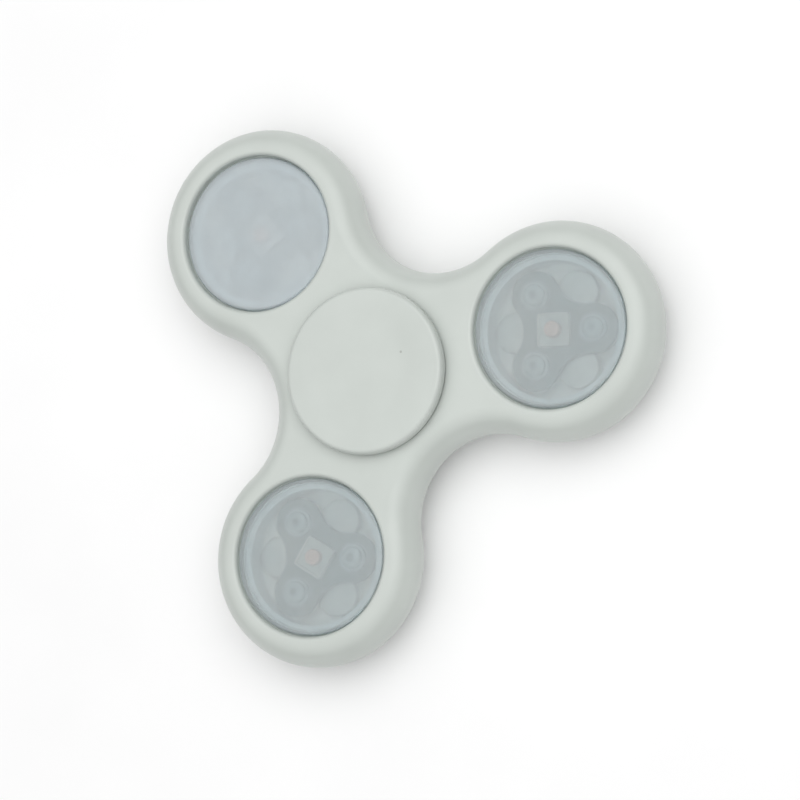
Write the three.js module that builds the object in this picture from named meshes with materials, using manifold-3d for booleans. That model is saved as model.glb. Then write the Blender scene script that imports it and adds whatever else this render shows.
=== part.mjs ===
// Three-armed fidget spinner with a push light in each arm.
// Millimetres, +Z up. The origin is the middle of the bearing, on the spin axis.
import * as THREE from 'three';
import { mergeVertices } from 'three/addons/utils/BufferGeometryUtils.js';
import Module from 'manifold-3d';

const wasm = await Module();
wasm.setup();

// ---- Driving dimensions ----

// Bearing, a standard 8 x 22 x 7 mm ball bearing.
const bearingBoreRadius = 4;
const bearingRadius = 11;
const bearingWidth = 7;
const ballRadius = 1.9845;
const ballCount = 7;
const raceShoulder = 1.4; // from the ball circle to the land of either race
const raceGrooveRadius = 2.06;
const ballPlay = 0.08;
const pocketPlay = 0.135;
const cageHalfWidth = 1;
const cageTop = 0.9;
const shieldThickness = 0.4;
const shieldInset = 0.3; // from the bearing's side to the shield
const shieldEdge = 0.6; // how far the shield's seat reaches into the outer race
const shieldPlay = 0.2; // between the shield and the inner race
const cageToShield = 0.3;
const raceCorner = 0.3;

// Frame, one moulding.
const frameThickness = 8;
const bearingFit = 0.03;
const bearingMouth = 0.25;
const web = 4.4; // wall between the bearing's bore and a light's bore
const rim = 4; // wall outside a light's bore
const waistWall = 4; // wall outside the bearing, between two arms
const edgeRun = 3.3; // how far the rounded edge reaches in over the face
const edgeLand = 0.3; // straight band half way up the edge
const faceLip = 0.1; // least flat face between two roundings
const lightBoreRadius = 10.9;
const lightMouth = 0.6;

// Finger caps.
const capOverhang = 0.4; // over the bearing's edge
const capGap = 0.35; // between the cap and the frame
const capThickness = 1.65;
const capEdge = 0.7;
const capRimWidth = 0.8;
const dishDepth = 0.45;
const dishFloorRadius = 5;
const capShoulderRadius = 5.4;
const stemFit = 0.05;
const stemGap = 0.2; // between the ends of the two stems
const socketRadius = 2.5;
const socketFit = 0.1;
const socketEndGap = 0.2;
const spigotTaper = 0.3;
const seatGap = 0.02; // between pieces that rest on each other

// Push lights: each has its place round the frame, how deep it sits and how it is turned.
const lights = [
  { angle: 120, recess: 0.9, clocking: -3 },
  { angle: 0, recess: 0.5, clocking: -10 },
  { angle: -120, recess: 0.5, clocking: -12 },
];
const pressTravel = 0.25;
const pressClearance = 0.1; // left under the cover when it is pressed

const lensGap = 0.2; // between the cover and the frame
const lensThickness = 0.9;
const lensEdge = 0.25;
const skirtWall = 0.45;
const skirtLip = 0.2;
const skirtLipHeight = 0.6;

const shellFit = 0.1;
const shellFloor = 0.9;
const shellChamfer = 0.3;
const shellWall = 0.65;
const spigotStep = 0.85; // from the shell's outside in to its spigot
const snapBead = 0.2;
const snapBeadHeight = 0.35;
const snapGap = 0.05;

const trayFit = 0.05;
const trayFloor = 0.45;
const trayHeight = 1.55;
const trayRim = 0.4;
const trayWaist = 2.6;
const postRadius = 1.2;

const cellRadius = 2.9;
const cellHeight = 2.15;
const cellCapStep = 0.45;
const cellCapHeight = 0.35;
const cellFit = 0.05;

const contactThickness = 0.15;
const contactInset = 0.6; // from a cell's edge in to the plate under it
const contactMargin = 0.8; // from the tray's channel in to the plate

const boardThickness = 0.6;
const boardLobeRadius = 3.4;
const boardOverCell = 1.5; // how far the board's hollows reach out over the cells
const boardMargin = 0.4;
const cellToBoard = 0.2;

const ledFlangeRadius = 1.9;
const ledFlangeHeight = 0.35;
const ledRadius = 1.5;
const ledHeight = 1.2;
const ledStraight = 0.6; // height at which the LED's side turns into its dome

const switchWidth = 4.5;
const switchHeight = 0.8;
const switchFloor = 0.25;
const buttonRadius = 1.1;
const buttonFit = 0.15;
const buttonEdge = 0.2;

const chipWidth = 2.8;
const chipHeight = 0.7;

// Facets round a full turn, and along a rounding.
const outlineSegments = 12;
const largeFacets = 32;
const cageFacets = 28;
const podFacets = 28;
const smallFacets = 12;
const edgeFacets = 3;
const grooveFacets = 4;

// ---- Sizes that follow ----

const ballCircle = (bearingBoreRadius + bearingRadius) / 2;
const bearingSide = bearingWidth / 2;
const frameSide = frameThickness / 2;
const capUnderside = Math.max(bearingSide, frameSide) + capGap;
const capTop = capUnderside + capThickness;
const capRadius = bearingRadius + capOverhang;
const frameBoreRadius = bearingRadius + bearingFit;
const lightPitch = frameBoreRadius + web + lightBoreRadius;
const lobeRadius = lightBoreRadius + rim;
const waist = frameBoreRadius + waistWall;
const edgeInset = Math.min(
  edgeRun,
  rim - lightMouth - faceLip,
  waistWall - bearingMouth - faceLip,
);

// Heights inside a light, counted up from the back of its shell.
const trayBottom = shellFloor + seatGap;
const trayFloorTop = trayBottom + trayFloor;
const contactBottom = trayFloorTop + seatGap;
const cellBottom = contactBottom + contactThickness + seatGap;
const boardBottom = cellBottom + cellHeight + cellToBoard;
const boardTop = boardBottom + boardThickness;
const partBottom = boardTop + seatGap;
const ledTop = partBottom + ledHeight;
const lensUnderside = ledTop + pressTravel + pressClearance;
const lensTop = lensUnderside + lensThickness;
const spigotTop = lensUnderside - pressTravel - pressClearance - pressTravel;
const beadBottom = spigotTop - snapBeadHeight;
const skirtLipTop = beadBottom - snapGap;
const skirtBottom = skirtLipTop - skirtLipHeight;
const shellTop = skirtBottom - pressTravel - pressClearance;

// Radii inside a light.
const lensRadius = lightBoreRadius - lensGap;
const skirtInside = lensRadius - skirtWall;
const shellRadius = lightBoreRadius - shellFit;
const spigotRadius = shellRadius - spigotStep;
const spigotInside = spigotRadius - shellWall;
const trayRadius = spigotInside - trayFit;
const pocketRadius = cellRadius + cellFit;
const cellPitch = trayRadius - trayRim - pocketRadius;
const contactRadius = cellRadius - contactInset;
const contactWaist = trayWaist - contactMargin;
const boardWaist = cellPitch - cellRadius + boardOverCell;
const ledPitch = spigotInside - boardMargin - boardLobeRadius;
const postPitch = trayRadius - trayRim - postRadius;

// ---- Materials ----

function finish(color, roughness, metalness, opacity = 1) {
  const transparent = opacity < 1;
  return new THREE.MeshStandardMaterial({ color, roughness, metalness, opacity, transparent });
}

const whiteAbs = finish('#e6e9e5', 0.3, 0);
const bearingSteel = finish('#b9bcbe', 0.25, 1);
const cageSteel = finish('#a8a59c', 0.4, 1);
const frostedCover = finish('#d5e1e3', 0.5, 0, 0.6);
const naturalNylon = finish('#e9e9e2', 0.5, 0);
const cellSteel = finish('#c9c9c6', 0.3, 1);
const nickelStrip = finish('#c2bda9', 0.35, 1);
const boardMask = finish('#4f8078', 0.45, 0);
const clearEpoxy = finish('#dfe9ea', 0.15, 0, 0.7);
const switchPlastic = finish('#e4ddd4', 0.5, 0);
const buttonPlastic = finish('#e8a48c', 0.45, 0);
const chipEpoxy = finish('#26282a', 0.6, 0);

// ---- Helpers ----

// A quarter of a circle from one (radius, height) end to the other, as a list of points.
function quarter(centre, radius, fromDegrees, toDegrees) {
  const points = [];
  for (let step = 0; step <= edgeFacets; step += 1) {
    const angle = THREE.MathUtils.degToRad(
      fromDegrees + ((toDegrees - fromDegrees) * step) / edgeFacets,
    );
    points.push([centre[0] + radius * Math.cos(angle), centre[1] + radius * Math.sin(angle)]);
  }
  return points;
}

// Turns an outline of (radius, height) points about Z. It starts and ends on the axis.
function turned(outline, facets) {
  const points = outline.map(([radius, height]) => new THREE.Vector2(radius, height));
  return new THREE.LatheGeometry(points, facets).rotateX(Math.PI / 2);
}

// Turns an outline that goes round and closes on itself.
function turnedRing(outline, facets) {
  return turned([...outline, outline[0]], facets);
}

function mirrorHeights(outline) {
  return outline.map(([radius, height]) => [radius, -height]).reverse();
}

// Three round lobes joined by round hollows. The waist is the hollows' distance from the middle.
function lobedShape(pitch, radius, waistRadius) {
  const hollow =
    (waistRadius ** 2 + pitch ** 2 - pitch * waistRadius - radius ** 2) /
    (2 * radius + pitch - 2 * waistRadius);
  const hollowPitch = waistRadius + hollow;
  const third = (2 * Math.PI) / 3;
  const reach = Math.atan2(
    hollowPitch * Math.sin(third / 2),
    hollowPitch * Math.cos(third / 2) - pitch,
  );
  const shape = new THREE.Shape();
  for (let lobe = 0; lobe < 3; lobe += 1) {
    const at = lobe * third;
    const next = at + third / 2;
    shape.absarc(pitch * Math.cos(at), pitch * Math.sin(at), radius, at - reach, at + reach);
    shape.absarc(
      hollowPitch * Math.cos(next),
      hollowPitch * Math.sin(next),
      hollow,
      at + reach + Math.PI,
      next + 2 * third - reach,
      true,
    );
  }
  return shape;
}

// A flat plate of the shape, with square edges.
function plate(shape, bottom, thickness, curveSegments) {
  const options = { depth: thickness, bevelEnabled: false, curveSegments };
  return new THREE.ExtrudeGeometry(shape, options).translate(0, 0, bottom);
}

function cylinder(radius, bottom, height, facets, x = 0, y = 0) {
  return new THREE.CylinderGeometry(radius, radius, height, facets)
    .rotateX(Math.PI / 2)
    .translate(x, y, bottom + height / 2);
}

// The geometry as a solid that can be joined and cut.
function solid(geometry) {
  const bare = geometry.clone();
  bare.deleteAttribute('normal');
  bare.deleteAttribute('uv');
  const merged = mergeVertices(bare);
  const corners = merged.index.array;
  const kept = [];
  for (let i = 0; i < corners.length; i += 3) {
    const [a, b, c] = [corners[i], corners[i + 1], corners[i + 2]];
    if (a !== b && b !== c && c !== a) kept.push(a, b, c);
  }
  const mesh = new wasm.Mesh({
    numProp: 3,
    vertProperties: new Float32Array(merged.attributes.position.array),
    triVerts: new Uint32Array(kept),
  });
  return new wasm.Manifold(mesh);
}

function fromSolid(result) {
  const mesh = result.getMesh();
  const geometry = new THREE.BufferGeometry();
  geometry.setAttribute('position', new THREE.BufferAttribute(mesh.vertProperties, 3));
  geometry.setIndex(new THREE.BufferAttribute(mesh.triVerts, 1));
  geometry.computeVertexNormals();
  return geometry;
}

function cut(geometry, cutters) {
  return fromSolid(cutters.reduce((left, cutter) => left.subtract(solid(cutter)), solid(geometry)));
}

function join(geometry, others) {
  return fromSolid(others.reduce((whole, other) => whole.add(solid(other)), solid(geometry)));
}

function named(name, geometry, material) {
  const mesh = new THREE.Mesh(geometry, material);
  mesh.name = name;
  return mesh;
}

function polar(pitch, degrees) {
  const angle = THREE.MathUtils.degToRad(degrees);
  return [pitch * Math.cos(angle), pitch * Math.sin(angle)];
}

// ---- Frame ----

// A bore's shape, with its mouths rounded outwards at both faces of the frame.
function boreCutter(radius, mouth) {
  const over = frameSide + 1;
  const upper = [
    ...quarter([radius + mouth, frameSide - mouth], mouth, 180, 90),
    [radius + mouth, over],
    [0, over],
  ];
  return turned([...mirrorHeights(upper), ...upper], largeFacets);
}

function frameGeometry() {
  const edgeDrop = (frameThickness - edgeLand) / 2;
  const blank = new THREE.ExtrudeGeometry(lobedShape(lightPitch, lobeRadius, waist), {
    depth: edgeLand,
    curveSegments: outlineSegments,
    bevelThickness: edgeDrop,
    bevelSize: edgeInset,
    bevelOffset: -edgeInset,
    bevelSegments: edgeFacets,
  }).translate(0, 0, -edgeLand / 2);
  const lightBores = lights.map(({ angle }) =>
    boreCutter(lightBoreRadius, lightMouth).translate(...polar(lightPitch, angle), 0),
  );
  return cut(blank, [boreCutter(frameBoreRadius, bearingMouth), ...lightBores]);
}

// ---- Finger caps ----

// The dished button, the shoulder that seats on the inner race and the outside of the stem.
function capOutline(stemEnd) {
  const stemRadius = bearingBoreRadius - stemFit;
  const seat = bearingSide + seatGap;
  const rimInside = capRadius - capEdge - capRimWidth;
  return [
    [stemRadius, stemEnd],
    [stemRadius, seat],
    [capShoulderRadius, seat],
    [capShoulderRadius, capUnderside],
    [capRadius - capEdge / 2, capUnderside],
    [capRadius, capUnderside + capEdge / 2],
    ...quarter([capRadius - capEdge, capTop - capEdge], capEdge, 0, 90),
    [rimInside, capTop],
    [(rimInside + dishFloorRadius) / 2, capTop - dishDepth * 0.75],
    [dishFloorRadius, capTop - dishDepth],
    [0, capTop - dishDepth],
  ];
}

const stemMiddle = stemGap / 2;
const socketEnd = bearingSide;

function frontCapGeometry() {
  const socket = [
    [0, socketEnd],
    [socketRadius, socketEnd],
    [socketRadius, stemMiddle],
  ];
  return turned([...socket, ...capOutline(stemMiddle)], largeFacets);
}

function rearCapGeometry() {
  const spigotRadiusInSocket = socketRadius - socketFit;
  const spigotEnd = -(socketEnd - socketEndGap);
  const spigot = [
    [0, spigotEnd],
    [spigotRadiusInSocket - spigotTaper, spigotEnd],
    [spigotRadiusInSocket, spigotEnd + spigotTaper],
    [spigotRadiusInSocket, stemMiddle],
  ];
  return turned(mirrorHeights([...spigot, ...capOutline(stemMiddle)]), largeFacets);
}

// ---- Bearing ----

// Heights and radii of a groove of the race, on the side that faces the balls.
function grooveArc(centreRadius, landRadius, outwards) {
  const half = Math.acos(Math.abs(landRadius - centreRadius) / raceGrooveRadius);
  const points = [];
  for (let step = 0; step <= grooveFacets; step += 1) {
    const angle = half - (2 * half * step) / grooveFacets;
    points.push([
      centreRadius + outwards * raceGrooveRadius * Math.cos(angle),
      raceGrooveRadius * Math.sin(angle),
    ]);
  }
  return points;
}

const shieldInner = bearingSide - shieldInset - shieldThickness - seatGap;
const innerLand = ballCircle - raceShoulder;
const outerLand = ballCircle + raceShoulder;
const shieldSeatRadius = outerLand + shieldEdge;

function outerRaceGeometry() {
  const centre = ballCircle + ballRadius + ballPlay - raceGrooveRadius;
  return turnedRing(
    [
      [bearingRadius - raceCorner, -bearingSide],
      [bearingRadius, -bearingSide + raceCorner],
      [bearingRadius, bearingSide - raceCorner],
      [bearingRadius - raceCorner, bearingSide],
      [shieldSeatRadius, bearingSide],
      [shieldSeatRadius, shieldInner],
      [outerLand, shieldInner],
      ...grooveArc(centre, outerLand, 1),
      [outerLand, -shieldInner],
      [shieldSeatRadius, -shieldInner],
      [shieldSeatRadius, -bearingSide],
    ],
    largeFacets,
  );
}

function innerRaceGeometry() {
  const centre = ballCircle - ballRadius - ballPlay + raceGrooveRadius;
  return turnedRing(
    [
      [bearingBoreRadius, -bearingSide + raceCorner],
      [bearingBoreRadius + raceCorner, -bearingSide],
      [innerLand, -bearingSide],
      ...grooveArc(centre, innerLand, -1).reverse(),
      [innerLand, bearingSide],
      [bearingBoreRadius + raceCorner, bearingSide],
      [bearingBoreRadius, bearingSide - raceCorner],
    ],
    largeFacets,
  );
}

function shieldGeometry() {
  const inside = innerLand + shieldPlay;
  const outside = shieldSeatRadius - bearingFit;
  const bottom = shieldInner + seatGap;
  return turnedRing(
    [
      [inside, bottom],
      [outside, bottom],
      [outside, bottom + shieldThickness],
      [inside, bottom + shieldThickness],
    ],
    largeFacets,
  );
}

function ballPlace(index) {
  return [...polar(ballCircle, (360 * index) / ballCount), 0];
}

function cageGeometry() {
  const bottom = -(shieldInner - cageToShield);
  const ring = turnedRing(
    [
      [ballCircle - cageHalfWidth, bottom],
      [ballCircle + cageHalfWidth, bottom],
      [ballCircle + cageHalfWidth, cageTop],
      [ballCircle - cageHalfWidth, cageTop],
    ],
    cageFacets,
  );
  const pockets = [];
  for (let index = 0; index < ballCount; index += 1) {
    const pocket = new THREE.IcosahedronGeometry(ballRadius + pocketPlay, 2);
    pockets.push(pocket.translate(...ballPlace(index)));
  }
  return cut(ring, pockets);
}

function bearing() {
  const group = new THREE.Group();
  group.add(named('bearing_outer_race', outerRaceGeometry(), bearingSteel));
  group.add(named('bearing_inner_race', innerRaceGeometry(), bearingSteel));
  group.add(named('bearing_cage', cageGeometry(), cageSteel));
  for (let index = 0; index < ballCount; index += 1) {
    const sphere = new THREE.IcosahedronGeometry(ballRadius, 1);
    const ball = named(`bearing_ball_${index + 1}`, sphere, bearingSteel);
    ball.position.set(...ballPlace(index));
    group.add(ball);
  }
  group.add(named('bearing_front_shield', shieldGeometry(), bearingSteel));
  const rearShield = named('bearing_rear_shield', shieldGeometry(), bearingSteel);
  rearShield.rotation.x = Math.PI;
  group.add(rearShield);
  return group;
}

// ---- Push light ----

function lensGeometry() {
  return turned(
    [
      [0, lensUnderside],
      [skirtInside, lensUnderside],
      [skirtInside, skirtLipTop],
      [skirtInside - skirtLip, skirtLipTop],
      [skirtInside - skirtLip, skirtBottom],
      [lensRadius, skirtBottom],
      ...quarter([lensRadius - lensEdge, lensTop - lensEdge], lensEdge, 0, 90),
      [0, lensTop],
    ],
    podFacets,
  );
}

function rearShellGeometry() {
  return turned(
    [
      [0, 0],
      [shellRadius - shellChamfer, 0],
      [shellRadius, shellChamfer],
      [shellRadius, shellTop],
      [spigotRadius, shellTop],
      [spigotRadius, beadBottom],
      [spigotRadius + snapBead, beadBottom],
      [spigotRadius, spigotTop],
      [spigotInside, spigotTop],
      [spigotInside, shellFloor],
      [0, shellFloor],
    ],
    podFacets,
  );
}

// A round tray with three joined pockets for the cells and a post under each arm of the board.
function trayGeometry() {
  const disc = cylinder(trayRadius, trayBottom, trayHeight, podFacets);
  const pocketShape = lobedShape(cellPitch, pocketRadius, trayWaist);
  const pockets = plate(pocketShape, trayFloorTop, trayHeight, outlineSegments / 3);
  const emptied = cut(disc, [pockets.rotateZ(Math.PI / 3)]);
  const postFoot = trayFloorTop - trayFloor / 2;
  const postHeight = boardBottom - seatGap - postFoot;
  const posts = [0, 120, 240].map((degrees) =>
    cylinder(postRadius, postFoot, postHeight, smallFacets, ...polar(postPitch, degrees)),
  );
  return join(emptied, posts);
}

function cellGeometry() {
  const shoulder = cellBottom + cellCapHeight;
  const cap = cellRadius - cellCapStep;
  return turned(
    [
      [0, cellBottom],
      [cap, cellBottom],
      [cap, shoulder],
      [cellRadius, shoulder],
      [cellRadius, cellBottom + cellHeight],
      [0, cellBottom + cellHeight],
    ],
    smallFacets,
  );
}

function ledGeometry() {
  return turned(
    [
      [0, 0],
      [ledFlangeRadius, 0],
      [ledFlangeRadius, ledFlangeHeight],
      [ledRadius, ledFlangeHeight],
      [ledRadius, ledStraight],
      [ledRadius * Math.cos(Math.PI / 6), ledStraight + (ledHeight - ledStraight) / 2],
      [ledRadius / 2, ledHeight - (ledHeight - ledStraight) / 8],
      [0, ledHeight],
    ],
    smallFacets,
  ).translate(0, 0, partBottom);
}

function switchBodyGeometry() {
  const box = new THREE.BoxGeometry(switchWidth, switchWidth, switchHeight);
  box.translate(0, 0, partBottom + switchHeight / 2);
  const holeRadius = buttonRadius + buttonFit;
  const hole = cylinder(holeRadius, partBottom + switchFloor, switchHeight, smallFacets);
  return cut(box, [hole]);
}

function switchButtonGeometry() {
  const bottom = partBottom + switchFloor + pressTravel + seatGap;
  const top = lensUnderside - seatGap;
  return turned(
    [
      [0, bottom],
      [buttonRadius, bottom],
      [buttonRadius, top - buttonEdge],
      [buttonRadius - buttonEdge, top],
      [0, top],
    ],
    smallFacets,
  );
}

// All the pieces of one light, stacked up from the back of its shell.
function light(name) {
  const group = new THREE.Group();
  group.add(named(`${name}_lens`, lensGeometry(), frostedCover));
  group.add(named(`${name}_rear_shell`, rearShellGeometry(), frostedCover));
  group.add(named(`${name}_cell_tray`, trayGeometry(), naturalNylon));
  const contactShape = lobedShape(cellPitch, contactRadius, contactWaist);
  const contact = plate(contactShape, contactBottom, contactThickness, outlineSegments / 4);
  group.add(named(`${name}_contact_plate`, contact.rotateZ(Math.PI / 3), nickelStrip));
  const boardShape = lobedShape(ledPitch, boardLobeRadius, boardWaist);
  const board = plate(boardShape, boardBottom, boardThickness, outlineSegments / 3);
  group.add(named(`${name}_circuit_board`, board, boardMask));
  for (let arm = 0; arm < 3; arm += 1) {
    const cell = named(`${name}_cell_${arm + 1}`, cellGeometry(), cellSteel);
    cell.position.set(...polar(cellPitch, 120 * arm + 60), 0);
    const led = named(`${name}_led_${arm + 1}`, ledGeometry(), clearEpoxy);
    led.position.set(...polar(ledPitch, 120 * arm), 0);
    group.add(cell, led);
  }
  group.add(named(`${name}_switch_body`, switchBodyGeometry(), switchPlastic));
  group.add(named(`${name}_switch_button`, switchButtonGeometry(), buttonPlastic));
  const chip = new THREE.BoxGeometry(chipWidth, chipWidth, chipHeight);
  chip.translate(0, 0, boardBottom - seatGap - chipHeight / 2);
  group.add(named(`${name}_driver_chip`, chip, chipEpoxy));
  return group;
}

// ---- Assembly ----

const group = new THREE.Group();
group.add(named('frame', frameGeometry(), whiteAbs));
group.add(named('front_cap', frontCapGeometry(), whiteAbs));
group.add(named('rear_cap', rearCapGeometry(), whiteAbs));
group.add(bearing());
lights.forEach(({ angle, recess, clocking }, index) => {
  const pod = light(`light_${index + 1}`);
  pod.position.set(...polar(lightPitch, angle), frameSide - recess - lensTop);
  pod.rotation.z = THREE.MathUtils.degToRad(angle + clocking);
  group.add(pod);
});

export default group;
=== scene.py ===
import math

import bmesh
import bpy
from mathutils import Matrix, Vector


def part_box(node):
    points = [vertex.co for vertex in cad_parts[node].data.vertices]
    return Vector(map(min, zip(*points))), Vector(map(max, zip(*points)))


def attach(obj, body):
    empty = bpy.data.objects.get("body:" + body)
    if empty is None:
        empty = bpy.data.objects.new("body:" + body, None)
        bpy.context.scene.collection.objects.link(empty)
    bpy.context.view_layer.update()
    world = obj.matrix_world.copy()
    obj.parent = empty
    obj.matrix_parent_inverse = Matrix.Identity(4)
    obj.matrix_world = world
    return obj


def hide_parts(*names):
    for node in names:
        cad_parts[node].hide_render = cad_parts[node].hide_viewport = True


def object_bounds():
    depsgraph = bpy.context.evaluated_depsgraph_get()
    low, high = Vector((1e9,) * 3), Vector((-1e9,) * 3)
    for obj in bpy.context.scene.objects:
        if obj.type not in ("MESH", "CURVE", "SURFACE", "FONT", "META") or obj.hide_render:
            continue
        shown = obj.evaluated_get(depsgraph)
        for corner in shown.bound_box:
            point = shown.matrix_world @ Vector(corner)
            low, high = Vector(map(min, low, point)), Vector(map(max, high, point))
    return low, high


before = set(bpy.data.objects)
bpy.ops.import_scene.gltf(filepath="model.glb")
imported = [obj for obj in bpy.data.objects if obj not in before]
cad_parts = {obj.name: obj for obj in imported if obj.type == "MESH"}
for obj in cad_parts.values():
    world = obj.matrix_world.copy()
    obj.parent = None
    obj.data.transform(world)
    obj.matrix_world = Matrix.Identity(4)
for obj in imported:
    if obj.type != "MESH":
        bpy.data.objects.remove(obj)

cad_low, cad_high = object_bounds()

# ---- Driving dimensions, in millimetres ----

MM = 0.001
UP = Vector((0, 0, 1))

# Points closer than this are one point, and a cutting tool reaches this far past its piece.
merge_distance = 0.001
overshoot = 1.0

# Steps in a full turn, for large, middling, small and tiny pieces.
large_steps = 128
middle_steps = 96
small_steps = 48
tiny_steps = 32

# Steps round each arm of the frame, a circuit board, and a pocket or contact strip.
frame_arm_steps = 96
board_arm_steps = 60
strip_arm_steps = 36

frame_side = 4.0
light_pitch = 26.33
lobe_radius = 14.9
waist = 15.03
edge_run = 3.3
edge_land = 0.3
light_bore = 10.9
light_mouth = 0.6
bearing_bore = 11.03
lip_radius = 10.73
lip_slope_low = 0.2
lip_slope_high = 0.1
bearing_mouth = 0.25

cap_radius = 11.4
cap_under = 4.35
cap_top = 6.0
cap_edge = 0.7
cap_rim = 0.8
dish_depth = 0.45
dish_floor = 5.0
cap_shoulder = 5.4
cap_seat = 3.52
stem_radius = 3.95
stem_end = 0.1
socket_radius = 2.5
socket_end = 3.5
spigot_radius = 2.4
spigot_end = 3.3
spigot_chamfer = 0.3

ball_circle = 7.5
ball_radius = 1.9845
ball_count = 7
groove = 2.06
ball_play = 0.08
race_side = 3.5
inner_land = 6.1
outer_land = 8.9
shield_seat = 9.5
shield_low = 2.8
shield_high = 3.2
shield_inside = 6.3
shield_outside = 9.47
shield_inner_border = 0.4
shield_outer_border = 0.57
shield_slope = 0.2
shield_sunk = 0.12
shield_gap = 0.02
cage_inside = 6.5
cage_outside = 8.5
cage_low = -2.48
cage_high = 0.9
cage_pocket = 2.12
cage_steps_a_ball = 16
bearing_radius = 11
bearing_bore_radius = 4
bearing_edge = 0.3

# One push light, with heights counted up from the back of its shell. Its first LED
# stands at no angle, and its first cell at cell_first degrees.
lens_radius = 10.7
lens_low = 6.08
lens_high = 6.98
lip_low = 6.1
lip_high = 6.35
skirt_inside = 10.25
skirt_low = 4.48
catch_high = 5.08
catch_depth = 0.2
skirt_from = 5.88
shell_radius = 10.8
shell_high = 4.13
spigot_outside = 9.95
spigot_inside = 9.3
bead_low = 5.13
bead_high = 5.48
bead_out = 0.2
shell_floor = 0.9
shell_ring_inside = 3.2
shell_ring_outside = 4.0
shell_ring_slope = 0.1
shell_ring_depth = 0.12
tray_radius = 9.25
tray_low = 0.92
tray_floor = 1.37
tray_high = 2.47
pocket_radius = 2.95
tray_waist = 2.6
post_radius = 1.2
post_pitch = 7.65
post_high = 3.89
post_root = 0.2
cell_pitch = 5.9
cell_first = 60
cell_radius = 2.9
cell_low = 1.56
cell_high = 3.71
cell_foot_inset = 0.45
cell_foot_high = 0.35
strip_low = 1.39
strip_high = 1.54
strip_radius = 2.3
strip_waist = 1.8
strip_edge = 0.03
board_low = 3.91
board_high = 4.51
board_radius = 3.4
board_waist = 4.5
board_edge = 0.05
pad_inside = 1.93
pad_outside = 2.3
pad_sunk = 0.02
pad_proud = 0.03
led_pitch = 5.5
led_flange = 1.9
led_radius = 1.5
part_low = 4.53
led_high = 5.73
led_flange_high = 0.35
led_stem = 0.6
reflector_radius = 0.65
switch_half = 2.25
switch_high = 5.33
switch_hole = 1.25
switch_floor = 4.78
switch_corner = 0.4
switch_border = 0.35
switch_sunk = 0.1
switch_edge = 0.05
button_radius = 1.1
button_low = 5.05
button_high = 6.06
button_dish = 0.6
button_dish_slope = 0.1
button_dish_depth = 0.08
chip_half = 1.4
chip_low = 3.19
chip_high = 3.89
chip_edge = 0.08

# Round the frame: the arm's angle, and the light's own turn in its bore.
lights = {1: (120, 117), 2: (0, -10), 3: (-120, -132)}
thirds = (0, 120, 240)

# One dark speck of burnt resin in the front cap's dish.
speck_place = (5.7, 1.3, 5.56)
speck_core = 0.12
speck_edge = 0.22


# ---- Modelling ----

def start_fresh():
    """Leaves edit mode with nothing selected."""
    if bpy.context.object and bpy.context.object.mode != "OBJECT":
        bpy.ops.object.mode_set(mode="OBJECT")
    bpy.ops.object.select_all(action="DESELECT")


def take_up(piece):
    """Makes one piece the only selected and active one."""
    start_fresh()
    piece.select_set(True)
    bpy.context.view_layer.objects.active = piece


def around(radius, degrees):
    """The point at this radius and angle, level with the origin."""
    angle = math.radians(degrees)
    return Vector((radius * math.cos(angle), radius * math.sin(angle), 0))


def first_point(name, at):
    """A small plane merged to one point, from which a line is drawn by extruding."""
    start_fresh()
    bpy.ops.mesh.primitive_plane_add(size=MM, location=Vector(at) * MM)
    piece = bpy.context.object
    piece.name = name
    piece.data.name = name
    bpy.ops.object.transform_apply(location=True, rotation=False, scale=False)
    bpy.ops.object.mode_set(mode="EDIT")
    bpy.ops.mesh.select_mode(type="VERT")
    bpy.ops.mesh.select_all(action="SELECT")
    bpy.ops.mesh.merge(type="CENTER")
    return piece


def block(name, half, low, high):
    """A square block on the axis, left in edit mode for the shaping that follows."""
    start_fresh()
    bpy.ops.mesh.primitive_cube_add(
        size=MM, location=(0, 0, (low + high) / 2 * MM),
        scale=(2 * half, 2 * half, high - low),
    )
    piece = bpy.context.object
    piece.name = name
    bpy.ops.object.transform_apply(location=True, rotation=False, scale=True)
    bpy.ops.object.mode_set(mode="EDIT")
    return piece


def draw_line(points):
    """Extrudes the point that is selected along a line through the others."""
    for before, after in zip(points, points[1:]):
        step = (Vector(after) - Vector(before)) * MM
        bpy.ops.mesh.extrude_region_move(TRANSFORM_OT_translate={"value": step})


def sweep(degrees, steps, centre=(0, 0, 0)):
    """Spins what is selected anticlockwise, seen from above, about an upright axis."""
    bpy.ops.mesh.spin(
        steps=steps,
        angle=math.radians(abs(degrees)),
        center=Vector(centre) * MM,
        axis=(0, 0, -1 if degrees > 0 else 1),
    )


def softened(corners, steps=6):
    """A run of (radius, height) points; a corner's third number rounds it to that radius."""
    run = []
    for index, corner in enumerate(corners):
        here = Vector(corner[:2])
        if len(corner) < 3:
            run.append(here)
            continue
        back = (Vector(corners[index - 1][:2]) - here).normalized()
        ahead = (Vector(corners[(index + 1) % len(corners)][:2]) - here).normalized()
        half = back.angle(ahead) / 2
        centre = here + (back + ahead).normalized() * corner[2] / math.sin(half)
        start = here + back * corner[2] / math.tan(half) - centre
        end = here + ahead * corner[2] / math.tan(half) - centre
        turn = start.angle(end)
        for step in range(steps + 1):
            part = turn * step / steps
            spoke = start * math.sin(turn - part) + end * math.sin(part)
            run.append(centre + spoke / math.sin(turn))
    return run


def close_up(piece):
    """Merges the doubles that a full turn leaves and points all faces outwards."""
    bpy.ops.mesh.select_all(action="SELECT")
    bpy.ops.mesh.remove_doubles(threshold=merge_distance * MM)
    bpy.ops.mesh.normals_make_consistent(inside=False)
    start_fresh()
    return piece


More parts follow.
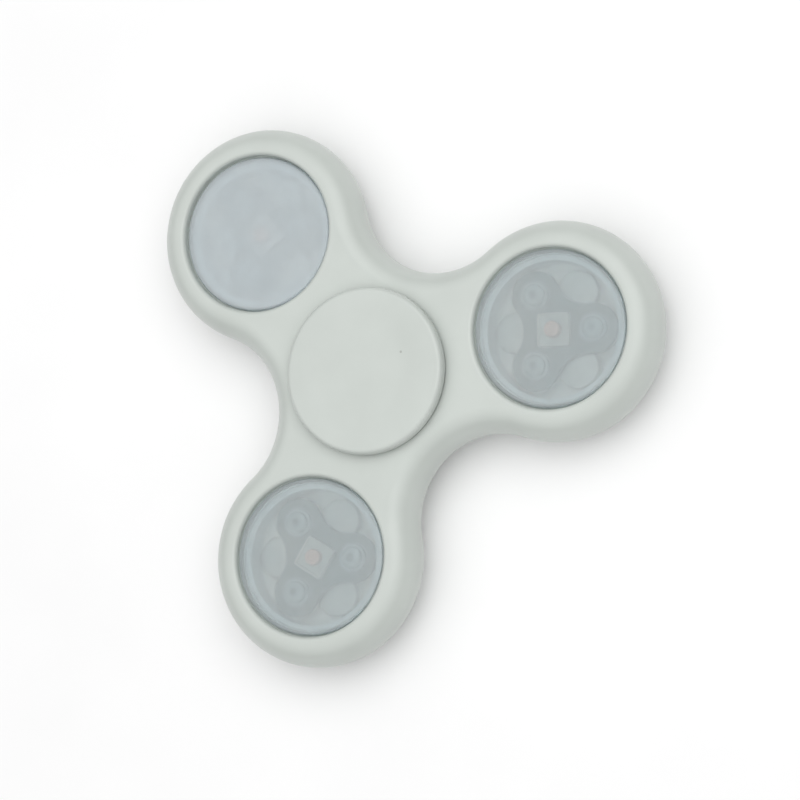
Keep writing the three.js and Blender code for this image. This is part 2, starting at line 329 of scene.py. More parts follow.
def turned(name, corners, steps=middle_steps, ring=False, rounding=6):
    """A solid of revolution. A ring's outline closes on itself, clear of the axis."""
    run = [(p[0], 0, p[1]) for p in softened(corners, rounding)]
    piece = first_point(name, run[0])
    draw_line(run + run[:1] if ring else run)
    bpy.ops.mesh.select_all(action="SELECT")
    sweep(360, steps)
    return close_up(piece)


def arc(centre, radii, start, end, steps):
    """Points on an ellipse as (radius, height), from one angle to another in degrees."""
    run = []
    for step in range(steps + 1):
        angle = math.radians(start + (end - start) * step / steps)
        run.append(
            (centre[0] + radii[0] * math.cos(angle), centre[1] + radii[1] * math.sin(angle))
        )
    return run


def ball_outline(radius, steps):
    """Half a circle, drawn from its lowest point to its highest."""
    return arc((0, 0), (radius, radius), -90, 90, steps)


def plate_section(low, high, chamfer):
    """The edge of a flat plate as (inset, height), chamfered top and bottom."""
    return [(chamfer, high), (0, high - chamfer), (0, low + chamfer), (chamfer, low)]


def mirrored(corners):
    """The same outline upside down, still drawn upwards."""
    return [(c[0], -c[1], *c[2:]) for c in reversed(corners)]


def choose(piece, kind, wanted):
    """Selects the edges or faces whose middle, in millimetres, passes the test."""
    bpy.ops.mesh.select_mode(type=kind)
    bpy.ops.mesh.select_all(action="DESELECT")
    mesh = bmesh.from_edit_mesh(piece.data)
    for part in mesh.faces if kind == "FACE" else mesh.edges:
        middle = sum((v.co for v in part.verts), Vector()) / len(part.verts) / MM
        if wanted(middle, part):
            part.select_set(True)
    bmesh.update_edit_mesh(piece.data)


def lobed(name, pitch, radius, waist_radius, section, steps, first=0):
    """Three round arms joined by round hollows: a section of (inset, height) is swept round."""
    across = 2 * radius + pitch - 2 * waist_radius
    hollow = (waist_radius**2 + pitch**2 - pitch * waist_radius - radius**2) / across
    hollow_pitch = waist_radius + hollow
    reach = math.degrees(
        math.atan2(
            hollow_pitch * math.sin(math.radians(60)),
            hollow_pitch * math.cos(math.radians(60)) - pitch,
        )
    )
    run = []
    for inset, height in section:
        point = around(pitch, first) + around(radius - inset, first - reach)
        run.append(point + UP * height)
    piece = first_point(name, run[0])
    draw_line(run)
    bpy.ops.mesh.select_all(action="SELECT")
    for third in thirds:
        arm = first + third
        sweep(2 * reach, steps, around(pitch, arm))
        sweep(120 - 2 * reach, steps // 3, around(hollow_pitch, arm + 60))
    bpy.ops.mesh.select_all(action="SELECT")
    bpy.ops.mesh.remove_doubles(threshold=merge_distance * MM)
    for inset, height in (section[0], section[-1]):
        choose(
            piece, "EDGE",
            lambda middle, edge: edge.is_boundary and abs(middle.z - height) < merge_distance,
        )
        bpy.ops.mesh.edge_face_add()
    return close_up(piece)


def modify(piece, kind, **settings):
    """Adds a modifier and applies it at once."""
    take_up(piece)
    bpy.ops.object.modifier_add(type=kind)
    modifier = piece.modifiers[-1]
    for name, value in settings.items():
        setattr(modifier, name, value)
    bpy.ops.object.modifier_apply(modifier=modifier.name)


def combine(piece, tool, operation):
    """Cuts a tool out of a piece, or joins it on, and throws the tool away."""
    modify(piece, "BOOLEAN", object=tool, operation=operation, solver="EXACT")
    bpy.data.objects.remove(tool, do_unlink=True)


def smooth(piece, sharp=40):
    """Rounded surfaces shade smoothly, and flats keep their own even shade."""
    take_up(piece)
    bpy.ops.object.shade_smooth_by_angle(angle=math.radians(sharp))
    modify(piece, "WEIGHTED_NORMAL", keep_sharp=True)


def copied(piece, name, turn=0, at=(0, 0, 0), over=False):
    """A copy with its own mesh, turned over or about the upright axis and then moved."""
    take_up(piece)
    bpy.ops.object.duplicate(linked=False)
    copy = bpy.context.object
    copy.name = name
    copy.data.name = name
    copy.rotation_euler = (math.pi if over else 0, 0, math.radians(turn))
    copy.location = Vector(at) * MM
    bpy.ops.object.transform_apply(location=True, rotation=True, scale=False)
    return copy


def joined(name, pieces):
    """Makes one piece of several, under one name."""
    start_fresh()
    for piece in pieces:
        piece.select_set(True)
    bpy.context.view_layer.objects.active = pieces[0]
    bpy.ops.object.join()
    pieces[0].name = name
    pieces[0].data.name = name
    return pieces[0]


# ---- Materials ----

def linear(hex_colour):
    """An sRGB hex colour as the linear colour that a shader wants."""
    whole = []
    for at in (1, 3, 5):
        part = int(hex_colour[at:at + 2], 16) / 255
        whole.append(part / 12.92 if part <= 0.04045 else ((part + 0.055) / 1.055) ** 2.4)
    return (*whole, 1)


def node(tree, kind, settings, links=None):
    """Adds one node, with its settings and its links by input name or number. On a mix
    node 0 is the factor, 2 and 3 are the numbers to mix, and 6 and 7 are the colours."""
    made = tree.nodes.new(kind)
    named = [name for name in settings if not isinstance(name, int) and hasattr(made, name)]
    for name in named:
        setattr(made, name, settings[name])
    for name, value in settings.items():
        if name not in named:
            made.inputs[name].default_value = value
    for name, source in (links or {}).items():
        tree.links.new(source, made.inputs[name])
    return made


def new_material(name, **sockets):
    """A material with its shader's even values set on the shader's own sockets."""
    material = bpy.data.materials.new(name)
    material.use_nodes = True
    tree = material.node_tree
    tree.nodes.clear()
    shader = node(tree, "ShaderNodeBsdfPrincipled", sockets)
    node(tree, "ShaderNodeOutputMaterial", {}, {"Surface": shader.outputs[0]})
    place = node(tree, "ShaderNodeTexCoord", {}).outputs["Object"]
    return material, tree, shader, place


def per_metre(size_mm):
    """The texture scale at which one feature is this many millimetres across."""
    return 1 / (size_mm * MM)


def tone(tree, place, shader, light, dark, size):
    """Slow change of colour between two shades, over patches of a size in millimetres."""
    cloud = node(
        tree, "ShaderNodeTexNoise",
        {"Scale": per_metre(size), "Detail": 3.0, "Roughness": 0.55},
        {"Vector": place},
    )
    ramp = node(tree, "ShaderNodeValToRGB", {}, {"Fac": cloud.outputs["Fac"]})
    ramp.color_ramp.elements[0].position = 0.35
    ramp.color_ramp.elements[0].color = linear(dark)
    ramp.color_ramp.elements[1].position = 0.65
    ramp.color_ramp.elements[1].color = linear(light)
    tree.links.new(ramp.outputs["Color"], shader.inputs["Base Color"])
    return ramp


def gloss(tree, place, shader, low, high, size):
    """Roughness that drifts between two values, as handling and moulding leave it, over
    patches of a size in millimetres."""
    cloud = node(
        tree, "ShaderNodeTexNoise",
        {"Scale": per_metre(size), "Detail": 4.0, "Roughness": 0.6},
        {"Vector": place},
    )
    spread = node(
        tree, "ShaderNodeMapRange",
        {"From Min": 0.3, "From Max": 0.7, "To Min": low, "To Max": high},
        {"Value": cloud.outputs["Fac"]},
    )
    tree.links.new(spread.outputs["Result"], shader.inputs["Roughness"])


def relief(tree, place, shader, size, depth, detail=2.0):
    """Fine unevenness of the given size and depth in millimetres, as bump."""
    grain = node(
        tree, "ShaderNodeTexNoise",
        {"Scale": per_metre(size), "Detail": detail, "Roughness": 0.5},
        {"Vector": place},
    )
    bump = node(
        tree, "ShaderNodeBump", {"Strength": 1.0, "Distance": depth * MM},
        {"Height": grain.outputs["Fac"]},
    )
    tree.links.new(bump.outputs["Normal"], shader.inputs["Normal"])


def hairlines(tree, place, shader, spacing, depth, angle):
    """Fine straight marks that run one way, with the spacing and depth in millimetres."""
    turn = node(
        tree, "ShaderNodeMapping",
        {"Rotation": (0, 0, math.radians(angle)), "Scale": (1, 0.04, 1)},
        {"Vector": place},
    )
    lines = node(
        tree, "ShaderNodeTexNoise",
        {"Scale": per_metre(spacing), "Detail": 1.0},
        {"Vector": turn.outputs["Vector"]},
    )
    bump = node(
        tree, "ShaderNodeBump", {"Strength": 1.0, "Distance": depth * MM},
        {"Height": lines.outputs["Fac"]},
    )
    tree.links.new(bump.outputs["Normal"], shader.inputs["Normal"])


def moulded_white_abs():
    """Injection-moulded white ABS from a polished mould: even milk white with a trace of
    green, a soft clear gloss, faint ripples of mould shrinkage and light handling marks."""
    material, tree, shader, place = new_material(
        "white_abs_moulded_gloss", **{"IOR": 1.54, "Metallic": 0.0}
    )
    ramp = tone(tree, place, shader, "#c8cec9", "#c4cac5", 9.0)
    away = node(
        tree, "ShaderNodeVectorMath", {"operation": "DISTANCE", 1: Vector(speck_place) * MM},
        {0: place},
    )
    speck = node(
        tree, "ShaderNodeMapRange",
        {
            "From Min": speck_core * MM, "From Max": speck_edge * MM,
            "To Min": 1.0, "To Max": 0.0,
        },
        {"Value": away.outputs["Value"]},
    )
    mixed = node(
        tree, "ShaderNodeMix", {"data_type": "RGBA", 7: linear("#a9ada7")},
        {0: speck.outputs["Result"], 6: ramp.outputs["Color"]},
    )
    tree.links.new(mixed.outputs[2], shader.inputs["Base Color"])
    gloss(tree, place, shader, 0.28, 0.32, 6.0)
    relief(tree, place, shader, 3.0, 0.0015)
    return material


def frosted_acrylic(name, clear, low, high, tint_light, tint_dark):
    """Moulded acrylic etched to a frost: a cold milky haze over what lies close under it,
    blurred more the deeper it lies, with a dull sheen and no clear reflection. It takes
    how much light passes, the least and greatest roughness, and the two shades."""
    material, tree, shader, place = new_material(
        name, **{"IOR": 1.49, "Metallic": 0.0, "Transmission Weight": clear}
    )
    tone(tree, place, shader, tint_light, tint_dark, 7.0)
    gloss(tree, place, shader, low, high, 3.0)
    # The etch is about 0.05 mm across; it is drawn at 0.18 mm so that it shows.
    relief(tree, place, shader, 0.18, 0.0004, 3.0)
    return material


def natural_nylon():
    """Moulded natural nylon: creamy, a little waxy, with a fine spark-eroded mould grain."""
    material, tree, shader, place = new_material(
        "nylon_natural_moulded",
        **{"IOR": 1.53, "Metallic": 0.0, "Subsurface Weight": 0.1, "Subsurface Scale": 0.001},
    )
    tone(tree, place, shader, "#ecece6", "#e4e5df", 4.0)
    gloss(tree, place, shader, 0.42, 0.55, 2.0)
    relief(tree, place, shader, 0.15, 0.006)
    return material


def steel(name, light, dark, low, high, spacing, depth, angle=0):
    """Ground or drawn metal: cool grey, with fine parallel lines that stretch its glints.
    It takes two shades, the least and greatest roughness, and the lines' spacing, depth
    and angle, in millimetres and degrees."""
    material, tree, shader, place = new_material(name, **{"Metallic": 1.0})
    tone(tree, place, shader, light, dark, 1.5)
    gloss(tree, place, shader, low, high, 1.2)
    hairlines(tree, place, shader, spacing, depth, angle)
    return material


def solder_mask():
    """Fibreglass board under sprayed solder mask: dull grey-teal, with the weave of the
    glass cloth, 0.5 mm apart, just showing through the lacquer."""
    material, tree, shader, place = new_material(
        "fibreglass_board_solder_mask", **{"IOR": 1.5, "Metallic": 0.0}
    )
    tone(tree, place, shader, "#465a57", "#3f5250", 3.0)
    gloss(tree, place, shader, 0.3, 0.42, 1.5)
    # At scale 1 the wave texture repeats 20 times in tau metres.
    weave_scale = math.tau / 20 * per_metre(0.5)
    bump = None
    for axis in ("X", "Y"):
        weave = node(
            tree, "ShaderNodeTexWave",
            {"bands_direction": axis, "Scale": weave_scale, "Distortion": 0.2},
            {"Vector": place},
        )
        links = {"Height": weave.outputs["Fac"]}
        if bump:
            links["Normal"] = bump.outputs["Normal"]
        bump = node(tree, "ShaderNodeBump", {"Distance": 0.006 * MM}, links)
    tree.links.new(bump.outputs["Normal"], shader.inputs["Normal"])
    return material


def plain_plastic(name, ior, light, dark, low, high, grain, depth, **extra):
    """A small moulded or cast part: two close shades, drifting gloss and a fine grain.
    The roughness runs from low to high; the grain's size and depth are in millimetres."""
    material, tree, shader, place = new_material(
        name, **{"IOR": ior, "Metallic": 0.0, **extra}
    )
    tone(tree, place, shader, light, dark, 1.6)
    gloss(tree, place, shader, low, high, 0.9)
    relief(tree, place, shader, grain, depth)
    return material


white_abs = moulded_white_abs()
# Two covers show the lamps and the switch under them as soft, cold shapes.
frost = frosted_acrylic("acrylic_frosted_cover", 0.745, 0.22, 0.26, "#f5fcfd", "#f1fafc")
# One cover is milkier, and hides more.
milky_frost = frosted_acrylic(
    "acrylic_frosted_cover_milky", 0.62, 0.22, 0.26, "#f2fafd", "#eef7fb"
)
# The rear shells are thicker and smoke white, and hide nearly all that is in them.
shell_frost = frosted_acrylic("acrylic_frosted_shell", 0.2, 0.3, 0.36, "#d8e1e2", "#d2dbdc")
# The covers' skirts and undersides are coarser, and pass less light than the top so that they
# show whiter: painted light, a brightened copy of the frost that lifts the ring lying in the
# bore's shade.
skirt_frost_painted_light = frosted_acrylic("acrylic_skirt_painted_light", 0.3, 0.4, 0.46, "#eff8f9", "#ebf5f7")
nylon = natural_nylon()
# Bright ground races and shields, with close lines.
race_steel = steel("bearing_steel_ground", "#c3c6c8", "#b2b5b8", 0.16, 0.26, 0.12, 0.001)
# Lapped balls, near mirrors with hardly a line.
ball_steel = steel("bearing_balls_lapped", "#cfd2d4", "#c6c9cb", 0.05, 0.09, 0.3, 0.0002)
# A pressed cage, warmer, darker and dull.
cage_steel = steel("pressed_steel_cage", "#aaa79f", "#97948b", 0.32, 0.46, 0.2, 0.003, 20)
# Plated cans, an even satin grey.
cell_steel = steel("nickel_plated_cell_can", "#acaeaa", "#a0a29e", 0.42, 0.52, 0.3, 0.0004)
# Stamped strip, straw grey with long lines.
strip_steel = steel("nickel_strip_stamped", "#c8c3b1", "#b6b09c", 0.28, 0.4, 0.15, 0.002, 60)
# Solder pads, dark and dull with flux.
tinned_pad = steel("tinned_copper_pad", "#6b7474", "#5d6666", 0.35, 0.5, 0.3, 0.0005, 15)
mask = solder_mask()
# Cast epoxy, smooth as glass and slightly milky with diffuser.
epoxy = plain_plastic(
    "led_epoxy_cast_diffused", 1.55, "#8f9d9e", "#849293", 0.10, 0.18, 0.5, 0.001
)
# The dark reflector cup seen through the tip of the epoxy dome.
reflector = plain_plastic(
    "led_reflector_under_epoxy", 1.55, "#5f6c70", "#525f63", 0.12, 0.2, 0.4, 0.001
)
# Moulded polyester, bone white and dry, with a fine mould grain.
switch_plastic = plain_plastic(
    "polyester_switch_body_moulded", 1.57, "#afafa8", "#a4a49d", 0.4, 0.52, 0.12, 0.004
)
# Moulded salmon acetal, waxy and low in gloss.
button_plastic = plain_plastic(
    "acetal_button_moulded", 1.48, "#cfa493", "#c59784", 0.35, 0.48, 0.14, 0.003
)
# Moulded black epoxy filled with silica, matt and faintly sparkling.
chip_epoxy = plain_plastic(
    "chip_epoxy_moulded", 1.55, "#2b2d2f", "#202224", 0.5, 0.65, 0.08, 0.004
)


def settle(piece, body, nodes, slot, *materials):
    """Gives a finished piece its materials and its body, and hides the nodes it stands for. The
    slot it takes is not used.
    """
    for material in materials:
        piece.data.materials.append(material)
    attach(piece, body)
    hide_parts(*nodes)


# ---- Frame ----

def edge_section():
    """The rounded edge, from the front face to the back one, as (inset, height)."""
    drop = frame_side - edge_land / 2
    front_half = arc((edge_run, edge_land / 2), (edge_run, drop), 90, 180, 12)
    return front_half + [(inset, -height) for inset, height in reversed(front_half)]


def bore_tool(name, radius, mouth, at, lip=()):
    """What a bore takes away, with its mouths rounded outwards at both faces. A lip's
    outline, if there is one, leaves a ring of material standing in the bore."""
    over = frame_side + overshoot
    upper = arc((radius + mouth, frame_side - mouth), (mouth, mouth), 180, 90, 8)
    upper += [(radius + mouth, over), (0, over)]
    tool = turned(name, mirrored(upper) + list(lip) + upper, large_steps)
    take_up(tool)
    tool.location = Vector(at) * MM
    bpy.ops.object.transform_apply(location=True, rotation=False, scale=False)
    return tool


plate = lobed(
    "spinner_frame", light_pitch, lobe_radius, waist, edge_section(), frame_arm_steps
)
combine(plate, bore_tool("bearing_seat", bearing_bore, bearing_mouth, (0, 0, 0)), "DIFFERENCE")
for number, (arm, turn) in lights.items():
    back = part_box(f"light_{number}_rear_shell")[0].z / MM
    lip = [
        (light_bore, back + lip_low - lip_slope_low),
        (lip_radius, back + lip_low),
        (lip_radius, back + lip_high),
        (light_bore, back + lip_high + lip_slope_high),
    ]
    tool = bore_tool("light_seat", light_bore, light_mouth, around(light_pitch, arm), lip)
    combine(plate, tool, "DIFFERENCE")
smooth(plate, 35)
settle(plate, "rotor", ["frame"], "white_abs", white_abs)

# ---- Finger caps ----

def button_face():
    """A cap's outline from its stem out over the rim and in across the dish."""
    rim_inside = cap_radius - cap_edge - cap_rim
    steps = 8
    dish = []
    for step in range(steps + 1):
        part = step / steps
        radius = rim_inside + (dish_floor - rim_inside) * part
        fall = dish_depth * (3 * part**2 - 2 * part**3)
        dish.append((radius, cap_top - fall))
    return [
        (stem_radius, stem_end),
        (stem_radius, cap_seat, 0.15),
        (cap_shoulder, cap_seat),
        (cap_shoulder, cap_under, 0.3),
        (cap_radius, cap_under, 0.35),
        (cap_radius, cap_top, cap_edge),
        *dish,
        (0, cap_top - dish_depth),
    ]


front = turned(
    "front_button",
    [(0, socket_end), (socket_radius, socket_end, 0.2), (socket_radius, stem_end)]
    + button_face(),
    large_steps,
)
smooth(front)
settle(front, "hub", ["front_cap"], "white_abs", white_abs)
rear = turned(
    "rear_button",
    mirrored(
        [
            (0, -spigot_end),
            (spigot_radius - spigot_chamfer, -spigot_end),
            (spigot_radius, spigot_chamfer - spigot_end),
            (spigot_radius, stem_end),
        ]
        + button_face()
    ),
    large_steps,
)
smooth(rear)
settle(rear, "hub", ["rear_cap"], "white_abs", white_abs)

# ---- Bearing ----

def groove_run(centre, land, outwards):
    """The ball groove of a race, from the top land to the bottom one."""
    half = math.degrees(math.acos(abs(land - centre) / groove))
    return arc((centre, 0), (outwards * groove, groove), half, -half, 16)


shield_floor = shield_low - shield_gap
outer_centre = ball_circle + ball_radius + ball_play - groove
inner_centre = ball_circle - ball_radius - ball_play + groove
outer = turned(
    "outer_race",
    [
        (bearing_radius, -race_side, bearing_edge),
        (bearing_radius, race_side, bearing_edge),
        (shield_seat, race_side),
        (shield_seat, shield_floor),
        (outer_land, shield_floor),
        *groove_run(outer_centre, outer_land, 1),
        (outer_land, -shield_floor),
        (shield_seat, -shield_floor),
        (shield_seat, -race_side),
    ],
    ring=True,
)
smooth(outer)
settle(outer, "rotor", ["bearing_outer_race"], "bearing_steel", race_steel)
inner = turned(
    "inner_race",
    [
        (bearing_bore_radius, -race_side, bearing_edge),
        (inner_land, -race_side, 0.1),
        *reversed(groove_run(inner_centre, inner_land, -1)),
        (inner_land, race_side, 0.1),
        (bearing_bore_radius, race_side, bearing_edge),
    ],
    ring=True,
)
smooth(inner)
settle(inner, "hub", ["bearing_inner_race"], "bearing_steel", race_steel)

sunk_high = shield_high - shield_sunk
inner_border = shield_inside + shield_inner_border
outer_border = shield_outside - shield_outer_border
shield = turned(
    "front_shield",
    [
        (shield_inside, shield_low, 0.08),
        (shield_outside, shield_low, 0.08),
        (shield_outside, shield_high, 0.15),
        (outer_border, shield_high, 0.1),
        (outer_border - shield_slope, sunk_high, 0.1),
        (inner_border + shield_slope, sunk_high, 0.1),
        (inner_border, shield_high, 0.1),
        (shield_inside, shield_high, 0.15),
    ],
    ring=True,
    rounding=4,
)
smooth(shield)
rear_shield = copied(shield, "rear_shield", over=True)
settle(shield, "rotor", ["bearing_front_shield"], "bearing_steel", race_steel)
settle(rear_shield, "rotor", ["bearing_rear_shield"], "bearing_steel", race_steel)

cage = turned(
    "ball_cage",
    [
        (cage_inside, cage_low, 0.15),
        (cage_outside, cage_low, 0.15),
        (cage_outside, cage_high, 0.15),
        (cage_inside, cage_high, 0.15),
    ],
    cage_steps_a_ball * ball_count,
    ring=True,
    rounding=3,
)

ball = turned("ball_pattern", ball_outline(ball_radius, small_steps // 2), small_steps)
smooth(ball, 60)
pocket = turned("pocket_pattern", ball_outline(cage_pocket, tiny_steps // 2), tiny_steps)
for index in range(ball_count):
    at = around(ball_circle, 360 * index / ball_count)
    combine(cage, copied(pocket, "pocket", at=at), "DIFFERENCE")
    piece = copied(ball, f"steel_ball_{index + 1}", at=at)
    settle(
        piece, f"ball_{index + 1}", [f"bearing_ball_{index + 1}"],
        "bearing_balls", ball_steel,
    )
smooth(cage)
settle(cage, "cage", ["bearing_cage"], "cage_steel", cage_steel)

# ---- Push lights: each piece is modelled once, at the origin ----

lens = turned(
    "lens_pattern",
    [
        (0, lens_low),
        (skirt_inside, lens_low, 0.12),
        (skirt_inside, catch_high),
        (skirt_inside - catch_depth, catch_high),
        (skirt_inside - catch_depth, skirt_low),
        (lens_radius, skirt_low, 0.1),
        (lens_radius, lens_high, 0.35),
        (0, lens_high),
    ],
    large_steps,
)
smooth(lens)
lens_materials = {1: milky_frost, 2: frost, 3: frost}
# Faces below skirt_from, on the skirt, take the second material, the brightened skirt frost:
# painted light in the shade of the bore.
for face in lens.data.polygons:
    face.material_index = 1 if face.center.z < skirt_from * MM else 0

shell = turned(
    "shell_pattern",
    [
        (0, 0),
        (shell_ring_inside, 0),
        (shell_ring_inside + shell_ring_slope, shell_ring_depth),
        (shell_ring_outside - shell_ring_slope, shell_ring_depth),
        (shell_ring_outside, 0),
        (shell_radius, 0, 0.3),
        (shell_radius, shell_high, 0.08),
        (spigot_outside, shell_high),
        (spigot_outside, bead_low),
        (spigot_outside + bead_out, bead_low),
        (spigot_outside, bead_high),
        (spigot_inside, bead_high, 0.08),
        (spigot_inside, shell_floor, 0.2),
        (0, shell_floor),
    ],
    large_steps,
    rounding=4,
)
smooth(shell)

tray = turned(
    "tray_pattern",
    [
        (0, tray_low),
        (tray_radius, tray_low, 0.1),
        (tray_radius, tray_high, 0.1),
        (0, tray_high),
    ],
    rounding=3,
)
pocket_wall = [(0, tray_high + overshoot), (0, tray_floor)]
combine(
    tray,
    lobed(
        "pockets", cell_pitch, pocket_radius, tray_waist, pocket_wall,
        strip_arm_steps, cell_first,
    ),
    "DIFFERENCE",
)
post = turned(
    "post_pattern",
    [
        (0, tray_floor - post_root),
        (post_radius, tray_floor - post_root),
        (post_radius, post_high, 0.15),
        (0, post_high),
    ],
    tiny_steps,
    rounding=3,
)
for arm in thirds:
    combine(tray, copied(post, "post", at=around(post_pitch, arm)), "UNION")
smooth(tray)

strip = lobed(
    "strip_pattern", cell_pitch, strip_radius, strip_waist,
    plate_section(strip_low, strip_high, strip_edge), strip_arm_steps, cell_first,
)
smooth(strip)

cell = turned(
    "cell_pattern",
    [
        (0, cell_low),
        (cell_radius - cell_foot_inset, cell_low, 0.12),
        (cell_radius - cell_foot_inset, cell_low + cell_foot_high),
        (cell_radius, cell_low + cell_foot_high, 0.12),
        (cell_radius, cell_high, 0.25),
        (0, cell_high),
    ],
    small_steps,
    rounding=4,
)
smooth(cell)

board = lobed(
    "board_pattern", led_pitch, board_radius, board_waist,
    plate_section(board_low, board_high, board_edge), board_arm_steps,
)
smooth(board)
board.data.materials.append(mask)
board.data.materials.append(tinned_pad)
pad = turned(
    "pad_pattern",
    [
        (pad_inside, board_high - pad_sunk),
        (pad_outside, board_high - pad_sunk),
        (pad_outside, board_high + pad_proud, 0.02),
        (pad_inside, board_high + pad_proud, 0.02),
    ],
    small_steps,
    ring=True,
    rounding=2,
)
smooth(pad)
pad.data.materials.append(tinned_pad)
pads = [copied(pad, "pad", at=around(led_pitch, arm)) for arm in thirds]
board = joined("board_pattern", [board, *pads])

dome_low = part_low + led_stem
led = turned(
    "led_pattern",
    [
        (0, part_low),
        (led_flange, part_low),
        (led_flange, part_low + led_flange_high, 0.06),
        (led_radius, part_low + led_flange_high),
        *arc((0, dome_low), (led_radius, led_high - dome_low), 0, 90, 12),
    ],
    small_steps,
    rounding=3,
)
smooth(led)
led.data.materials.append(epoxy)
led.data.materials.append(reflector)
for face in led.data.polygons:
    inside = face.center.xy.length < reflector_radius * MM
    face.material_index = 1 if inside and face.center.z > dome_low * MM else 0

switch = block("switch_pattern", switch_half, part_low, switch_high)
half_way = (part_low + switch_high) / 2
choose(switch, "EDGE", lambda middle, edge: abs(middle.z - half_way) < merge_distance)
bpy.ops.mesh.bevel(offset=switch_corner * MM, segments=4)
choose(switch, "FACE", lambda middle, face: face.normal.z > 0.9)
bpy.ops.mesh.inset(thickness=switch_border * MM)
bpy.ops.mesh.extrude_region_move(
    TRANSFORM_OT_translate={"value": (0, 0, -switch_sunk * MM)}
)
start_fresh()
hole = turned(
    "hole",
    [
        (0, switch_floor),
        (switch_hole, switch_floor),
        (switch_hole, switch_high + overshoot),
        (0, switch_high + overshoot),
    ],
    small_steps,
)
combine(switch, hole, "DIFFERENCE")
modify(switch, "BEVEL", width=switch_edge * MM, segments=2, limit_method="ANGLE")
smooth(switch)

button = turned(
    "button_pattern",
    [
        (0, button_low),
        (button_radius, button_low),
        (button_radius, button_high, 0.2),
        (button_dish, button_high, 0.1),
        (button_dish - button_dish_slope, button_high - button_dish_depth, 0.1),
        (0, button_high - button_dish_depth),
    ],
    small_steps,
    rounding=4,
)
smooth(button)

chip = block("chip_pattern", chip_half, chip_low, chip_high)
bpy.ops.mesh.select_all(action="SELECT")
bpy.ops.mesh.bevel(offset=chip_edge * MM, segments=2)
start_fresh()
smooth(chip)

# Each pattern with its piece's name, what it rides on, the node it stands for, its slot
# and its materials. The board and the LEDs carry their materials already.
single_parts = (
    (shell, "shell", "rotor", "rear_shell", "frosted_shell", [shell_frost]),
    (tray, "tray", "rotor", "cell_tray", "natural_nylon", [nylon]),
    (strip, "strip", "rotor", "contact_plate", "nickel_strip", [strip_steel]),
    (board, "board", "rotor", "circuit_board", "board_mask", []),
    (switch, "switch", "rotor", "switch_body", "switch_plastic", [switch_plastic]),
    (button, "button", "cover", "switch_button", "button_plastic", [button_plastic]),
    (chip, "chip", "rotor", "driver_chip", "chip_epoxy", [chip_epoxy]),
)
ringed_parts = (
    (cell, "cell", cell_pitch, cell_first, "cell_steel", [cell_steel]),
    (led, "led", led_pitch, 0, "led_epoxy", []),
)
for number, (arm, turn) in lights.items():
    name = f"light_{number}"
    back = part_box(f"{name}_rear_shell")[0].z / MM
    at = around(light_pitch, arm) + UP * back
    piece = copied(lens, f"cover_{number}", turn, at)
    # Each cover's skirt takes the brightened skirt frost, which is painted light.
    settle(
        piece, f"cover_{number}", [f"{name}_lens"], "frosted_cover",
        lens_materials[number], skirt_frost_painted_light,
    )
    for pattern, part, rides, cad, slot, materials in single_parts:
        piece = copied(pattern, f"{part}_{number}", turn, at)
        body = f"cover_{number}" if rides == "cover" else rides
        settle(piece, body, [f"{name}_{cad}"], slot, *materials)
    for third, spoke in enumerate(thirds, 1):
        for pattern, part, pitch, first, slot, materials in ringed_parts:
            place = at + around(pitch, turn + first + spoke)
            piece = copied(pattern, f"{part}_{number}_{third}", turn, place)
            settle(piece, "rotor", [f"{name}_{part}_{third}"], slot, *materials)

patterns = (
    ball, pocket, lens, shell, tray, post, strip, cell, board, pad, led, switch, button, chip
)
for pattern in patterns:
    bpy.data.objects.remove(pattern, do_unlink=True)

# ---- Floor, camera and lights, in metres ----

floor_side = 4
start_fresh()
bpy.ops.mesh.primitive_plane_add(size=floor_side, location=(0, 0, cad_low.z))
floor = bpy.context.object
floor.name = "floor"
paper, tree, shader, place = new_material("matt_white_paper", **{"Roughness": 0.9})
tone(tree, place, shader, "#fbfbfb", "#f8f8f8", 40.0)
floor.data.materials.append(paper)

# The camera leans away from the upright axis, goes round it and then rolls about its sight.
camera_lean = math.radians(23.5)
camera_round = Matrix.Rotation(math.radians(63.4), 3, "Z")
camera_roll = math.radians(75)
camera_distance = 0.5
aim_right = 0.0027
aim_low = 0.0034
sight = camera_round @ Vector((0, -math.sin(camera_lean), math.cos(camera_lean)))
level = camera_round @ Vector((1, 0, 0))
upright = camera_round @ Vector((0, math.cos(camera_lean), math.sin(camera_lean)))
right = math.cos(camera_roll) * level - math.sin(camera_roll) * upright
top = math.sin(camera_roll) * level + math.cos(camera_roll) * upright
aim = right * aim_right - top * aim_low

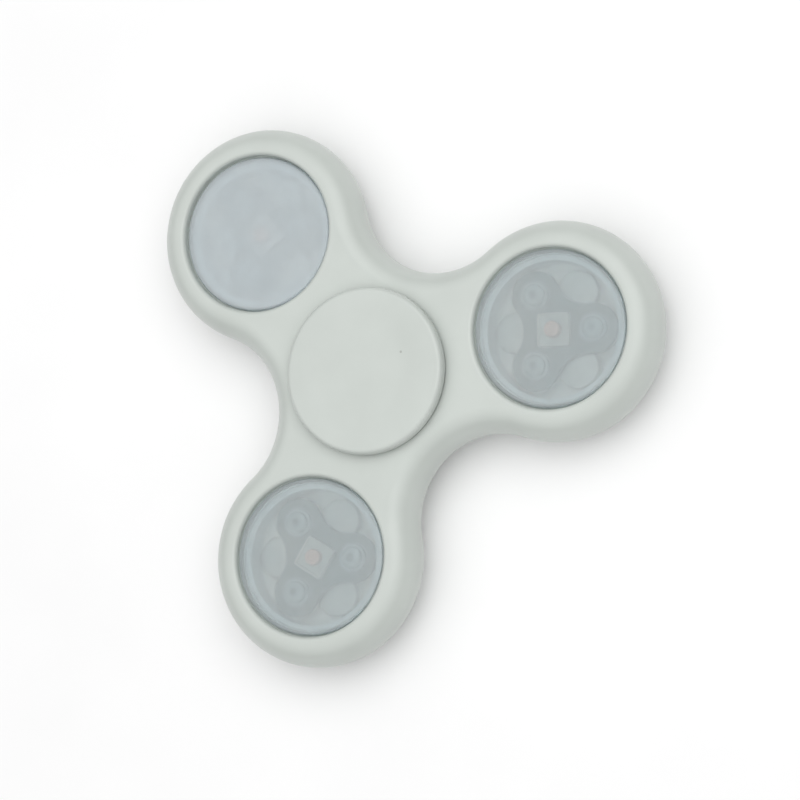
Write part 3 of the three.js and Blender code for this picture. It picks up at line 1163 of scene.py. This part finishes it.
camera_data = bpy.data.cameras.new("camera")
camera_data.lens = 165
camera_data.sensor_width = 36
camera = bpy.data.objects.new("camera", camera_data)
bpy.context.scene.collection.objects.link(camera)
camera.matrix_world = (
    Matrix.Translation(aim + sight * camera_distance)
    @ Matrix((right, top, sight)).transposed().to_4x4()
)
bpy.context.scene.camera = camera


def soft_box(name, across, along, height, size, power):
    """A square area light over the object, placed by the camera's right and top."""
    data = bpy.data.lights.new(name, "AREA")
    data.size = size
    data.energy = power
    lamp = bpy.data.objects.new(name, data)
    bpy.context.scene.collection.objects.link(lamp)
    level_right = Vector((right.x, right.y, 0)).normalized()
    level_top = Vector((top.x, top.y, 0)).normalized()
    lamp.location = level_right * across + level_top * along + UP * height
    lamp.rotation_mode = "QUATERNION"
    lamp.rotation_quaternion = lamp.location.to_track_quat("Z", "Y")


soft_box("key", across=0.19, along=0.16, height=0.5, size=0.5, power=0.88)

# Light from the horizon and from overhead, and the wall as it is seen behind the object.
horizon_light = 0.03
overhead_light = 1.2
wall_brightness = 0.8
world = bpy.data.worlds.new("studio")
bpy.context.scene.world = world
world.use_nodes = True
sky = world.node_tree
sky.nodes.clear()
direction = node(sky, "ShaderNodeTexCoord", {}).outputs["Generated"]
apart = node(sky, "ShaderNodeSeparateXYZ", {}, {"Vector": direction})
rise = node(
    sky, "ShaderNodeMapRange",
    {
        "interpolation_type": "SMOOTHSTEP", "From Min": 0.05, "From Max": 0.95,
        "To Min": horizon_light, "To Max": overhead_light,
    },
    {"Value": apart.outputs["Z"]},
)
seen = node(sky, "ShaderNodeLightPath", {}).outputs["Is Camera Ray"]
strength = node(
    sky, "ShaderNodeMix", {"data_type": "FLOAT", 3: wall_brightness},
    {0: seen, 2: rise.outputs["Result"]},
)
glow = node(
    sky, "ShaderNodeBackground", {"Color": (1, 1, 1, 1)},
    {"Strength": strength.outputs[0]},
)
node(sky, "ShaderNodeOutputWorld", {}, {"Surface": glow.outputs[0]})
bpy.context.scene.view_settings.view_transform = "Standard"
